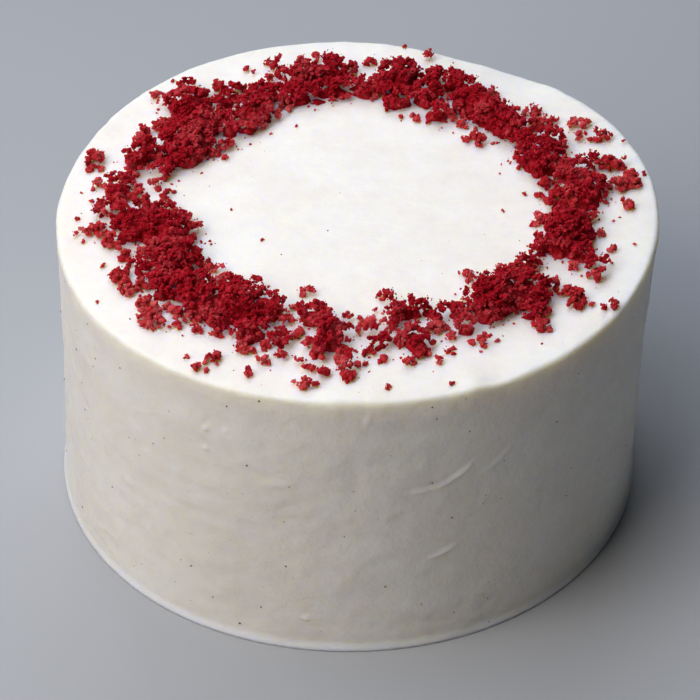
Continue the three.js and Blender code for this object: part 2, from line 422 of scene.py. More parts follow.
@dataclass(frozen=True)
class SpeckFinish:
    """Ground vanilla: near-black brown flecks."""

    dark: tuple = (0.05, 0.035, 0.025)
    light: tuple = (0.27, 0.21, 0.155)

    def material(self) -> bpy.types.Material:
        """Builds the material: two browns mixed from fleck to fleck."""
        nodes = Nodes("vanilla")
        browns = nodes.ramp(nodes.noise(7 * MM), [(0.4, self.dark), (0.6, self.light)])
        nodes.set(Base_Color=browns, Roughness=0.8)
        return nodes.material


@dataclass(frozen=True)
class FloorFinish:
    """A plain pale studio floor."""

    colour: tuple = (0.40, 0.40, 0.41)
    shaded: tuple = (0.37, 0.37, 0.38)

    def material(self) -> bpy.types.Material:
        """Builds the material: one pale grey with the faintest clouds."""
        nodes = Nodes("studio_floor")
        greys = nodes.ramp(nodes.noise(0.3), [(0.3, self.shaded), (0.7, self.colour)])
        nodes.set(Base_Color=greys, Roughness=0.85)
        return nodes.material


# ---------------------------------------------------------------------------------------------
# The cream
# ---------------------------------------------------------------------------------------------


@dataclass(frozen=True)
class CakeForm:
    """The main form of the coated cake, as in the part's source but with a softer lip."""

    radius: float = 79 * MM
    height: float = 84 * MM
    foot_shift: float = 1.9 * MM  # that the foot lies left of the top
    wall_inset: float = 0.5 * MM  # of the wall from the lip
    waist: float = 0.5 * MM  # that the wall draws in further, halfway up
    lip_depth: float = 13 * MM  # over which the wall swells out to the lip
    lip_round: float = 1.8 * MM  # how far in the lip's turn reaches
    round_depth: float = 2.0 * MM  # and how far down
    squareness: float = 0.72  # power of the turn, where 1 makes it a quarter of an ellipse
    foot_flare: float = 0.75 * MM
    foot_height: float = 2.8 * MM
    foot_tuck: float = 0.12 * MM  # that the edge of the base draws in
    lobes: tuple = ((3, 0.008, 0.0), (4, -0.004, 0.0065), (5, -0.002, 0.002))
    foot_lobes: float = 0.3  # share of the lobes that is left at the foot

    def place(self, out: np.ndarray, bearing: np.ndarray, height: np.ndarray) -> np.ndarray:
        """Points on the cake from their distance from the axis, bearing and height.

        The distance is stretched by one plus the sum of the lobes, each a number of waves round the
        cake with its cosine's and its sine's share, which fade towards the foot. The point moves left
        in proportion to its depth under the top.

        Args:
            out: distance from the axis.
            bearing: radians, anticlockwise from +X.
            height: above the floor.

        Returns:
            The points, with x, y and z in the last axis, about the middle of the top.
        """
        uneven = sum(c * np.cos(n * bearing) + s * np.sin(n * bearing) for n, c, s in self.lobes)
        share = height / self.height
        stretch = 1 + uneven * (self.foot_lobes + (1 - self.foot_lobes) * share)
        x = out * stretch * np.cos(bearing) - self.foot_shift * (1 - share)
        y = out * stretch * np.sin(bearing)
        return np.stack([x, y, height + 0 * x], axis=-1)

    def middle(self) -> np.ndarray:
        """Where the middle of the top stands in the scene: the CAD box's middle less the form's."""
        turn = np.linspace(0, 2 * math.pi, 721)
        edges = np.concatenate([self.place(self.radius, turn, level) for level in (self.height, 0.0)])
        own = (edges.min(axis=0) + edges.max(axis=0)) / 2
        low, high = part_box("cake")
        return np.array([(low.x + high.x) / 2 - own[0], (low.y + high.y) / 2 - own[1], 0.0])


@dataclass(frozen=True)
class KnifeMark:
    """A raised line that the knife left on the wall, with a shallow trough above it.

    Its ends are (bearing in degrees, height in mm), and bow, width and rise are in mm.
    """

    start: tuple
    end: tuple
    bow: float
    width: float
    rise: float


KNIFE_MARKS = (
    KnifeMark((279.6, 52.9), (286.4, 53.8), -0.2, 0.45, 0.34),
    KnifeMark((285.2, 53.2), (292.2, 59.6), -0.7, 0.45, 0.50),
    KnifeMark((281.5, 57.0), (288.5, 58.4), 0.4, 1.8, -0.22),
    KnifeMark((294.1, 54.8), (300.3, 61.6), -0.6, 0.5, 0.26),
    KnifeMark((284.4, 29.7), (290.2, 32.8), -0.3, 0.5, 0.37),
    KnifeMark((281.5, 39.0), (291.0, 33.4), 0.3, 1.0, -0.14),
    KnifeMark((252.3, 54.6), (259.6, 56.4), -0.4, 0.9, 0.14),
    KnifeMark((255.8, 45.4), (258.9, 49.2), 0.3, 0.8, -0.14),
    KnifeMark((294.5, 47.2), (295.0, 43.9), 0.0, 0.6, 0.18),
    KnifeMark((261.2, 10.5), (262.5, 10.6), 0.0, 0.6, 0.60),
    KnifeMark((241.6, 68.3), (242.8, 68.5), 0.0, 0.6, 0.55),
    KnifeMark((245.7, 69.0), (246.5, 69.2), 0.0, 0.6, 0.40),
    KnifeMark((241.5, 61.6), (242.5, 61.8), 0.0, 0.6, 0.45),
    KnifeMark((271.9, 76.8), (272.6, 80.0), 0.0, 0.5, 0.36),
    KnifeMark((274.8, 43.4), (282.2, 48.6), 1.0, 1.2, 0.12),
    KnifeMark((321.0, 28.6), (325.5, 25.8), 0.5, 0.9, 0.20),
    KnifeMark((328.0, 44.4), (331.0, 41.2), 0.4, 0.9, 0.16),
    KnifeMark((211.5, 9.0), (217.0, 11.8), 0.4, 1.0, 0.18),
    KnifeMark((203.0, 24.5), (206.5, 27.8), 0.4, 1.0, 0.14),
)


@dataclass(frozen=True)
class Zone:
    """A part of the section that something acts on.

    Both pairs, of heights and of distances from the axis, say where it is nil and where it is full.
    """

    heights: tuple
    reaches: tuple

    def share(self, out: np.ndarray, height: np.ndarray) -> np.ndarray:
        """From 0 beside the zone to 1 in it, for distances from the axis and heights."""
        return smooth_step(height, *self.heights) * smooth_step(out, *self.reaches)


@dataclass
class CreamCoat:
    """The cream over the whole cake: base, foot, wall, lip and top as one closed surface."""

    form: CakeForm
    front_columns: int = 384  # from 180 to 360 degrees, where the finest marks are
    back_columns: int = 180
    base_rows: tuple = (0.25, 0.5, 0.75, 0.93, 1.0)  # shares of the wall's radius
    foot_rows: tuple = (0.0, 0.04, 0.1, 0.18, 0.28, 0.4, 0.54, 0.7, 0.86)  # shares of the foot's height
    foot_swell: tuple = (0.22, 0.42)  # its middle and half width, as shares of the foot's height
    wall_rows: int = 118
    lip_rows: int = 22
    top_rows: int = 22
    top_crowding: float = 1.15  # power that crowds the top's rows towards the rim
    hidden_marks: int = 16  # faint marks round the back
    hidden_bearings: tuple = (-8, 188)  # degrees that they start between
    hidden_heights: tuple = (8, 74)  # and mm
    mark_onset: tuple = (-0.15, 0.4)  # shares of a mark's length where it is nil and full
    mark_fade: tuple = (1.2, 0.65)  # the same at its far end
    mark_sides: tuple = (1.3, 0.8)  # half widths above and below the line, as multiples of the width
    trough: tuple = (0.3, 3.4, 1.8)  # depth by the rise, then place and half width by the width
    rim_bumps: tuple = ((292.0, 0.35, 2.0), (296.8, -0.45, 2.6), (268.0, 0.2, 4.0), (318.0, 0.25, 6.0))
    slump: tuple = (62.0, 1.3, 13.0)  # of the rim at the back: bearing, drop in mm, half width in degrees
    # Noise by its strength in mm, its size in mm and its step from the seed.
    lumps: tuple = ((0.22, 26, 0), (0.16, 7, 1), (0.085, 2.8, 6))
    wall_strokes: tuple = ((0.07, 2.6, 2),)
    top_strokes: tuple = ((0.10, 5, 3),)
    lip_wear: tuple = ((0.16, 6, 4), (0.09, 2.2, 5))
    stroke_length: float = 7.0  # of the strokes on the wall, as a multiple of their breadth
    sweep_hub: tuple = (-95.0, 60.0)  # mm, the point that the strokes on the top run round
    sweep_arc: float = 25.0  # mm of noise to a radian round it
    top_calm: float = 0.5  # share of the lumps that the knife took off the top
    # Heights where something is nil and where it is full.
    marks_from: tuple = (1 * MM, 5 * MM)
    lumps_from: tuple = (0.0, 3 * MM)
    strokes_from: tuple = (1 * MM, 6 * MM)
    strokes_to: tuple = (84 * MM, 78 * MM)
    calm_from: tuple = (82 * MM, 84 * MM)
    top_zone: Zone = Zone((83 * MM, 84 * MM), (79 * MM, 70 * MM))
    lip_zone: Zone = Zone((79 * MM, 82 * MM), (74 * MM, 77 * MM))
    rim_zone: Zone = Zone((81 * MM, 83.4 * MM), (72 * MM, 76 * MM))
    slump_zone: Zone = Zone((80 * MM, 83.8 * MM), (70 * MM, 78 * MM))
    seed: int = 11
    bearings: np.ndarray = field(init=False)  # of the columns, in radians
    points: np.ndarray = field(init=False)  # rows by columns by 3, about the middle of the top
    top_start: int = field(init=False)  # the first row of the flat top

    def __post_init__(self) -> None:
        """Places the columns round the cake."""
        back = np.linspace(0, math.pi, self.back_columns, endpoint=False)
        front = np.linspace(math.pi, 2 * math.pi, self.front_columns, endpoint=False)
        self.bearings = np.concatenate([back, front])

    def profile(self) -> tuple[np.ndarray, np.ndarray]:
        """Half the cake's section, from near the middle of the base to near the middle of the top.

        The foot swells by a bell curve of height, the wall draws in by half a sine, and the lip
        swells by a smooth step and turns over to the top as a quarter of a squarish ellipse.

        Returns:
            Distance from the axis and height, one of each a row.
        """
        form = self.form
        wall = form.radius - form.wall_inset
        base = wall * np.array(self.base_rows)
        foot = form.foot_height * np.array(self.foot_rows)
        middle, half_width = self.foot_swell
        swell = form.foot_flare * np.exp(-(((foot / form.foot_height - middle) / half_width) ** 2))
        swell[0] -= form.foot_tuck
        share = np.linspace(0, 1, self.wall_rows)
        rise = form.foot_height + (form.height - form.lip_depth - form.foot_height) * share
        drawn = wall - form.waist * np.sin(math.pi * share)
        under = np.linspace(0, 1, self.lip_rows // 2 + 1)[1:]
        lip_side = form.height - form.lip_depth + (form.lip_depth - form.round_depth) * under
        lip_out = wall + form.wall_inset * smooth_step(under, 0.0, 1.0)
        turn = np.linspace(0, math.pi / 2, self.lip_rows // 2 + 1)[1:]
        over_out = form.radius - form.lip_round * (1 - np.cos(turn) ** form.squareness)
        over_up = form.height - form.round_depth * (1 - np.sin(turn) ** form.squareness)
        inward = np.linspace(0, 1, self.top_rows + 1)[1:-1] ** self.top_crowding
        flat = (form.radius - form.lip_round) * (1 - inward)
        out = np.concatenate([base, wall + swell, drawn, lip_out, over_out, flat])
        up = np.concatenate([0 * base, foot, rise, lip_side, over_up, 0 * flat + form.height])
        self.top_start = len(out) - len(flat)
        return out, up

    def all_marks(self) -> list[KnifeMark]:
        """The marks that show in front, and seeded faint ones of the same kind round the back."""
        draw = np.random.default_rng(self.seed)
        marks = list(KNIFE_MARKS)
        bearings = draw.uniform(*self.hidden_bearings, self.hidden_marks)
        heights = draw.uniform(*self.hidden_heights, self.hidden_marks)
        for bearing, height in zip(bearings, heights):
            reach, climb = draw.uniform(3, 11), draw.uniform(-3, 6)
            bow, width, rise = draw.uniform(-1, 1), draw.uniform(0.5, 1.2), draw.uniform(0.10, 0.32)
            marks.append(KnifeMark((bearing, height), (bearing + reach, height + climb), bow, width, rise))
        return marks

    def marked(self, bearing: np.ndarray, height: np.ndarray) -> np.ndarray:
        """How far the knife marks push the wall out.

        On the unrolled wall, a mark runs along its chord with a parabola of its bow to one side. It
        is a bell curve across that line, steeper below than above, less a wider shallow bell above
        it, and it fades at both ends.

        Args:
            bearing: radians, a row of columns.
            height: a column of rows.

        Returns:
            The push in metres, rows by columns.
        """
        arc = self.form.radius * math.pi / 180 / MM
        above, below = self.mark_sides
        depth, place, spread = self.trough
        push = np.zeros(np.broadcast(bearing, height).shape)
        for mark in self.all_marks():
            right = angle_between(bearing, mark.start[0]) * arc
            up = height / MM - mark.start[1]
            chord = np.array([(mark.end[0] - mark.start[0]) * arc, mark.end[1] - mark.start[1]])
            length = np.hypot(*chord)
            along = (right * chord[0] + up * chord[1]) / length**2
            across = (up * chord[0] - right * chord[1]) / length - mark.bow * 4 * along * (1 - along)
            fade = smooth_step(along, *self.mark_onset) * smooth_step(along, *self.mark_fade)
            width = np.where(across > 0, above, below) * mark.width
            ridge = np.exp(-((across / width) ** 2))
            trough = depth * np.exp(-(((across - place * mark.width) / (spread * mark.width)) ** 2))
            push += mark.rise * fade * (ridge - trough)
        return push * MM

    def unevenness(self, bearing: np.ndarray, out: np.ndarray, height: np.ndarray) -> np.ndarray:
        """How far hand spreading pushes the surface out.

        Broad and middling noise everywhere, noise drawn out round the cake for the strokes on the
        wall, noise along arcs about a point beside the cake for the strokes on the top, and coarse
        noise on the lip.

        Args:
            bearing: radians, a row of columns.
            out: distance from the axis, a column of rows.
            height: a column of rows.

        Returns:
            The push in metres, rows by columns.
        """
        spot = self.form.place(out, bearing, height)
        lumps = layered_noise(spot, self.lumps, self.seed)
        lumps = lumps * (1 - self.top_calm * smooth_step(height, *self.calm_from))
        long = self.stroke_length
        drawn_out = np.stack([spot[..., 0] / long, spot[..., 1] / long, spot[..., 2]], axis=-1)
        strokes = layered_noise(drawn_out, self.wall_strokes, self.seed)
        wall = smooth_step(height, *self.strokes_from) * smooth_step(height, *self.strokes_to)
        push = lumps * smooth_step(height, *self.lumps_from) + strokes * wall
        hub = np.array(self.sweep_hub) * MM
        reach = np.hypot(spot[..., 0] - hub[0], spot[..., 1] - hub[1])
        round_hub = np.arctan2(spot[..., 1] - hub[1], spot[..., 0] - hub[0])
        sweep = np.stack([reach, round_hub * self.sweep_arc * MM], axis=-1)
        push += self.top_zone.share(out, height) * layered_noise(sweep, self.top_strokes, self.seed)
        ring = np.stack([np.cos(bearing), np.sin(bearing)], axis=-1) * self.form.radius
        push += self.lip_zone.share(out, height) * layered_noise(ring, self.lip_wear, self.seed)
        return push * MM

    def shape(self) -> np.ndarray:
        """The surface's points, about the middle of the top.

        The section is turned round the cake and pushed out along its own normal by the unevenness
        and the knife marks. Bell curves of the bearing then raise or lower the rim, and a flatter
        one wears it down where it slumps.

        Returns:
            The points, rows by columns by 3.
        """
        out, up = (values[:, None] for values in self.profile())
        bearing = self.bearings[None, :]
        run, climb = np.gradient(out, axis=0), np.gradient(up, axis=0)
        length = np.hypot(run, climb)
        marks = self.marked(bearing, up) * smooth_step(up, *self.marks_from)
        push = (self.unevenness(bearing, out, up) + marks) * np.where(up > 0, 1.0, 0.0)
        new_out = out + push * climb / length
        new_up = up - push * run / length
        edge = self.rim_zone.share(out, up)
        for degrees, rise, half_width in self.rim_bumps:
            new_up = new_up + rise * MM * edge * bell(bearing, degrees, half_width, 2)
        degrees, drop, half_width = self.slump
        worn = self.slump_zone.share(out, up)
        new_up = new_up - drop * MM * worn * bell(bearing, degrees, half_width, 4)
        return self.form.place(new_out, bearing, new_up)

    def build(self, origin: np.ndarray, material: bpy.types.Material) -> bpy.types.Object:
        """Builds the coat, its rows joined by four-sided faces and its two poles closed by fans.

        Args:
            origin: the middle of the top in the scene, at floor height.
            material: the cream.

        Returns:
            The piece.
        """
        self.points = self.shape()
        rows, columns = self.points.shape[:2]
        poles = np.array([self.points[0].mean(axis=0) * [1, 1, 0], self.points[-1].mean(axis=0)])
        points = np.concatenate([self.points.reshape(-1, 3), poles]) + origin
        number = np.arange(rows * columns).reshape(rows, columns)
        after = np.roll(number, -1, axis=1)
        quads = np.stack([number[:-1], after[:-1], after[1:], number[1:]], axis=-1).reshape(-1, 4)
        under, over = rows * columns, rows * columns + 1
        base = np.stack([np.full(columns, under), after[0], number[0]], axis=-1)
        crown = np.stack([np.full(columns, over), number[-1], after[-1]], axis=-1)
        return mesh_piece("cream_coat", points, [quads, base, crown], material, Shading.SMOOTH)


@dataclass
class VanillaSpecks:
    """Flecks of ground vanilla that show in the cream, half sunk."""

    coat: CreamCoat
    on_wall: int = 440
    on_top: int = 130
    radius: tuple = (0.07 * MM, 0.25 * MM)
    skew: float = 3  # power that makes most of them small
    uneven: tuple = (0.6, 1.5)  # a fleck's half sizes, as shares of its radius
    jitter: float = 0.2  # of its corners
    first_row: int = 12  # of the coat's grid, clear of the foot
    seed: int = 29

    def build(self, origin: np.ndarray, material: bpy.types.Material) -> bpy.types.Object:
        """Builds the flecks at seeded corners of the coat's grid.

        Each is an icosahedron of its own length, breadth and turn, centred on the surface.

        Args:
            origin: the middle of the top in the scene, at floor height.
            material: the vanilla.

        Returns:
            The piece.
        """
        draw = np.random.default_rng(self.seed)
        grid, top = self.coat.points, self.coat.top_start
        wall_rows = draw.integers(self.first_row, top - self.coat.lip_rows // 2, self.on_wall)
        inward = 1 - np.sqrt(draw.uniform(0, 1, self.on_top))
        top_rows = top + (inward * (len(grid) - top - 1)).astype(int)
        rows = np.concatenate([wall_rows, top_rows])
        turn = draw.uniform(0, 2 * math.pi, len(rows))
        columns = np.searchsorted(self.coat.bearings, turn) % grid.shape[1]
        smallest, largest = self.radius
        size = smallest + (largest - smallest) * draw.uniform(0, 1, len(rows)) ** self.skew
        sizes = size[:, None] * draw.uniform(*self.uneven, (len(rows), 3))
        flecks = Chips(grid[rows, columns], sizes, random_turns(len(rows), draw))
        return flecks.build("vanilla_specks", self.jitter, origin, material, draw)


# ---------------------------------------------------------------------------------------------
# The crumbs
# ---------------------------------------------------------------------------------------------

# The heaps of the wreath, anticlockwise from +X: bearing in degrees, distance from the middle as a
# share of the radius, and half length along the wreath, half width across it and height in mm.
HEAPS = (
    # right
    (346, 0.7, 10, 7.5, 7), (340, 0.77, 5.5, 4.5, 4), (337, 0.645, 4.5, 3.5, 3.5),
    (337, 0.845, 4.2, 4, 3.6), (357, 0.78, 5, 2.5, 3), (1, 0.66, 5, 4, 4), (5, 0.77, 8, 6, 6),
    (13, 0.755, 6.5, 6.4, 5), (17, 0.84, 3, 3, 3.5), (22, 0.67, 8, 6.5, 7), (25, 0.61, 3.6, 2.6, 2.6),
    (32, 0.67, 5, 4, 4), (29, 0.755, 4, 4, 4.5), (40, 0.67, 7, 5, 5.5), (39.5, 0.815, 5.5, 2.2, 2.4),
    # back right
    (47, 0.68, 6, 6.5, 6), (45, 0.76, 4, 2.5, 3), (55, 0.69, 6, 6.3, 6), (61, 0.75, 4.5, 5.5, 6),
    (62, 0.585, 5, 4.5, 4.5), (65, 0.8, 3.5, 3.5, 4.5), (69, 0.68, 5, 6.5, 5.5), (70, 0.785, 3, 4, 5),
    (77, 0.62, 6, 4, 5), (78, 0.74, 6, 6, 8), (87, 0.68, 7, 5, 5),
    # back
    (96, 0.76, 5, 5.5, 7.5), (97, 0.66, 7, 3.6, 4.6), (103, 0.63, 5, 3, 3.5), (104, 0.74, 6, 6, 7),
    (109, 0.66, 7, 4, 5), (109, 0.8, 2, 5, 5.5), (116, 0.71, 5, 4, 5), (123, 0.64, 6, 6.2, 6),
    (125, 0.76, 7, 4, 4), (129, 0.57, 5, 3.5, 4),
    # back left
    (131, 0.89, 3.5, 3, 3.5), (136, 0.81, 7, 6, 6.5), (138, 0.9, 3, 2.5, 3), (140, 0.7, 8, 6.5, 6),
    (134, 0.61, 5, 4.5, 4.5), (143, 0.565, 3.2, 3, 3.2), (150, 0.665, 8.5, 7.3, 7.5),
    (156, 0.65, 6, 6, 6), (160, 0.77, 8, 4.5, 6), (164, 0.67, 4.5, 3.2, 3.6), (166, 0.73, 5.5, 4, 3),
    # left
    (173, 0.79, 5, 4.5, 4), (171, 0.69, 3, 3, 2.5), (174, 0.73, 3, 2.6, 3), (178, 0.79, 5, 3.5, 4),
    (183, 0.84, 3.5, 3, 3.5), (184, 0.65, 4, 4, 4), (187, 0.58, 5, 2.5, 3), (188, 0.74, 8, 6.5, 6.5),
    (193, 0.79, 5, 4, 3.5), (195, 0.65, 8, 7, 7.5), (195, 0.565, 4.5, 2.5, 3),
    (205, 0.65, 8, 6.5, 7.5), (207, 0.59, 5, 3, 4), (206, 0.77, 5, 3.5, 4), (211, 0.73, 6, 5, 5),
    # front left
    (217, 0.77, 5.5, 4.5, 4.5), (221, 0.69, 6, 5.5, 6.5), (219, 0.575, 4.5, 2.5, 2.5),
    (227, 0.8, 4, 2.6, 3), (229, 0.72, 7, 5.5, 6.5), (231, 0.585, 7.5, 4, 4), (237, 0.67, 8, 6, 7.5),
    (235, 0.75, 7, 3.5, 4), (234, 0.53, 4, 2.5, 3), (243, 0.62, 5.5, 5.5, 6), (243, 0.74, 6, 5, 5),
    (251.5, 0.745, 3, 6, 3.5), (249, 0.635, 2.5, 3.2, 3),
    # front
    (257, 0.61, 5, 5, 5.5), (263, 0.69, 5.5, 6, 6.5), (261, 0.77, 3.8, 5.5, 4), (268, 0.81, 2.6, 6, 3),
    (269, 0.65, 3.5, 3, 3), (275, 0.66, 3.5, 4.5, 3), (276, 0.74, 3.6, 4.5, 3.5), (280, 0.63, 4, 4, 4),
    (281, 0.52, 2.5, 3.5, 3.5), (286, 0.59, 6.5, 4.2, 5), (284, 0.73, 5, 6, 5),
    (293, 0.63, 3.5, 4.5, 4),
    # front right
    (299, 0.65, 4.5, 4, 3.6), (298, 0.73, 4.5, 4.5, 4), (305, 0.625, 3, 4, 3.2),
    (306, 0.7, 5.5, 4.5, 5), (312, 0.67, 8.5, 7, 8), (319, 0.71, 6.5, 6.5, 6.5),
    (314, 0.79, 4, 4, 3.5), (326, 0.635, 6, 3.5, 4.5),
)

# The larger clumps beside the wreath: as the heaps, some with the turn of the long side in degrees.
CLUMPS = (
    (9, 0.937, 3.8, 2.6, 3), (26, 0.915, 4, 2.2, 2.8, 70), (32, 0.9, 4, 2.2, 2.6, 60),
    (42.7, 0.545, 3, 2.4, 3), (164, 0.918, 4.8, 2.6, 3.2, 15), (189, 0.89, 3.6, 1.8, 2.2, 90),
    (208.7, 0.852, 6, 2.4, 2.6), (222.5, 0.885, 4.4, 2.8, 3), (240.8, 0.912, 2.6, 2, 2.2, 60),
    (324.7, 0.845, 4.8, 3, 3.2, 60),
)

# Small clusters of crumbs that lie loose, as the clumps.
CLUSTERS = (
    (0.9, 0.895, 1.8, 2.4, 2.2), (1.3, 0.7, 2, 2.4, 4), (5, 0.615, 1.6, 1.4, 2),
    (5.7, 0.802, 1.4, 1.6, 2.4), (7.4, 0.676, 2, 2, 3.5), (7.6, 0.88, 2.2, 3, 3),
    (8.6, 0.844, 1.6, 1.4, 2.2), (11.4, 0.645, 2, 2.5, 2.4), (15, 0.88, 3, 3.4, 3.5),
    (15, 0.93, 2, 1.4, 2.2), (19.3, 0.852, 1.4, 1.2, 2), (25, 0.775, 2.4, 1.6, 3),
    (28, 0.86, 1.8, 1.6, 2.2), (36, 0.841, 1.4, 1.4, 2.2), (36.2, 0.8, 2.2, 1.6, 2.6),
    (37.4, 0.762, 2, 2, 3), (42, 0.825, 2.5, 1.6, 2.6), (42.1, 0.781, 1.6, 1.4, 2.6),
    (52, 0.595, 2, 1.6, 2), (54.2, 0.8, 2.2, 2, 3.2), (56, 0.6, 1.6, 1.2, 2.4),
    (67, 0.55, 1.2, 1, 1.8), (74, 0.922, 1.6, 2.2, 1.8, 20), (86.9, 0.845, 2.2, 1.2, 1.8),
    (91.5, 0.8, 2, 2, 3.2), (99.3, 0.875, 0.9, 2.6, 3), (110.5, 0.86, 1.1, 3, 3),
    (113, 0.612, 2, 1.8, 2.4), (113, 0.81, 2, 1.8, 3), (115.5, 0.868, 1.2, 3.4, 2),
    (117.6, 0.576, 1.6, 1.2, 2), (119.2, 0.78, 2.6, 1.4, 2.6), (124.7, 0.835, 1.8, 1.6, 3),
    (129.5, 0.832, 2.2, 1.6, 3.2), (138, 0.945, 2.4, 1, 1.6), (145, 0.805, 3.4, 2.6, 3),
    (146.9, 0.521, 1.2, 1, 1.8), (148.3, 0.56, 2, 1.2, 2), (151.5, 0.828, 3.8, 1.6, 3.4),
    (159.5, 0.736, 3, 2.2, 3), (166, 0.887, 2.2, 1.2, 1.8, 40), (168.6, 0.8, 1.6, 1.4, 2),
    (172.5, 0.862, 1.5, 1.8, 2), (175, 0.642, 1.8, 1.2, 1.8), (177.7, 0.7, 1.6, 1.2, 1.8),
    (188.8, 0.845, 2, 2.2, 2.2), (190.5, 0.85, 1.4, 1.4, 2), (194.5, 0.83, 1.8, 2.2, 2),
    (200, 0.79, 2.6, 1.4, 2), (200.7, 0.736, 2.6, 1.8, 2.6), (205.7, 0.823, 2, 1.2, 2),
    (212, 0.81, 2.4, 1.8, 2.6), (216.8, 0.567, 3.6, 1, 1.8, 54), (217, 0.845, 2.2, 2, 2),
    (221.3, 0.839, 1.4, 1.4, 2), (223.5, 0.805, 3, 1.8, 2.4), (225.5, 0.875, 2.2, 1.6, 2),
    (226.8, 0.838, 2.6, 1.2, 2), (231.4, 0.819, 2.4, 1.2, 2.2), (237, 0.8, 2.6, 1.2, 2),
    (239.4, 0.966, 1.4, 1.2, 1.6), (245, 0.818, 2.8, 1.6, 2.4), (248, 0.785, 1.8, 1.2, 2),
    (248.9, 0.922, 1.4, 1.6, 1.8), (250, 0.57, 1.2, 1.2, 1.6), (250.3, 0.85, 2, 1.4, 2),
    (251, 0.485, 2.4, 1.6, 1.8), (253, 0.811, 1.6, 1.4, 2), (254.8, 0.694, 1.6, 2.2, 2),
    (257.4, 0.812, 1.6, 1.6, 2), (260, 0.925, 3, 2, 2), (260.8, 0.852, 1.4, 2.2, 2),
    (262.6, 0.868, 2.6, 1.6, 2), (266.3, 0.786, 1.2, 1.4, 1.8), (267.5, 0.583, 1.5, 2.2, 2),
    (268.8, 0.873, 1.6, 2, 2), (272.3, 0.588, 2, 1.5, 2), (272.8, 0.768, 1.6, 1.4, 1.8),
    (276, 0.788, 1.4, 1.4, 2), (276.7, 0.547, 1.2, 1.2, 1.8), (282, 0.83, 1.8, 1.8, 2),
    (285, 0.79, 2, 2.4, 2.6), (288, 0.842, 1.3, 2, 1.8), (291.7, 0.803, 1.8, 1.3, 1.8),
    (292, 0.688, 2.6, 1.8, 2.4), (293.3, 0.74, 1.2, 1.4, 1.8), (299.8, 0.778, 1.8, 1.2, 2.2),
    (300, 0.8, 2.4, 2.2, 2.6), (304, 0.597, 1.6, 1, 1.8), (309.8, 0.551, 1.4, 1, 1.8),
    (312.2, 0.594, 1.6, 1.6, 3), (312.9, 0.852, 2, 3, 2.6), (314, 0.513, 1.2, 2.4, 2.2),
    (316.6, 0.825, 1.8, 1.6, 2.4), (323.2, 0.576, 1.8, 1.2, 2.2), (325.3, 0.907, 1.8, 0.9, 1.4),
    (326, 0.755, 2, 2, 3), (326.7, 0.958, 2.6, 1.4, 1.8), (335, 0.63, 1.6, 1.2, 2),
    (335, 0.771, 2.6, 1.2, 2.4), (344.6, 0.866, 1.1, 1.8, 1.8, 15), (348, 0.775, 2.6, 1.6, 3),
    (349.8, 0.813, 1.4, 1.2, 1.6), (352.5, 0.6, 2.4, 2, 2.6), (357.6, 0.72, 2, 2, 4),
)

# Single crumbs: bearing in degrees and distance as a share of the radius.
SINGLES = (
    (7.5, 0.565), (6.8, 0.605), (37.5, 0.595), (48, 0.61), (358.5, 0.485), (22.5, 0.985), (11, 0.985),
    (80, 0.975), (131, 0.975), (133, 0.93), (113.5, 0.51), (73.5, 0.545), (70, 0.565), (173.5, 0.88),
    (178, 0.88), (184, 0.92), (192, 0.91), (172, 0.63), (172, 0.61), (168.5, 0.69), (201, 0.875),
    (211.5, 0.965), (236, 0.94), (241, 0.96), (272, 0.81), (302.5, 0.82), (297, 0.79), (316, 0.77),
    (330, 0.742), (348, 0.93), (288, 0.945), (276, 0.928), (209.8, 0.352), (313, 0.48), (19, 0.885),
)


@dataclass
class Chips:
    """Many small rough solids of one kind, made as one mesh."""

    centres: np.ndarray
    sizes: np.ndarray  # half sizes on each solid's own axes
    turns: np.ndarray  # rotation matrices

    def build(
        self,
        name: str,
        jitter: float,
        origin: np.ndarray,
        material: bpy.types.Material,
        draw: np.random.Generator,
    ) -> bpy.types.Object:
        """Builds the solids.

        Each is an icosahedron whose corners are pushed in or out at random, stretched to its half
        sizes, turned by its matrix and moved to its centre.

        Args:
            name: the piece's name.
            jitter: the largest push, as a share of the radius.
            origin: the middle of the top in the scene, at floor height.
            material: the finish.
            draw: the random draws.

        Returns:
            The piece.
        """
        ball, triangles = icosahedron()
        count = len(self.centres)
        pushed = ball[None] * (1 + jitter * draw.uniform(-1, 1, (count, len(ball), 1)))
        stretched = pushed * self.sizes[:, None, :]
        points = np.einsum("nij,nkj->nki", self.turns, stretched) + self.centres[:, None, :] + origin
        faces = triangles[None] + len(ball) * np.arange(count)[:, None, None]
        return mesh_piece(name, points.reshape(-1, 3), [faces.reshape(-1, 3)], material, Shading.FACETED)


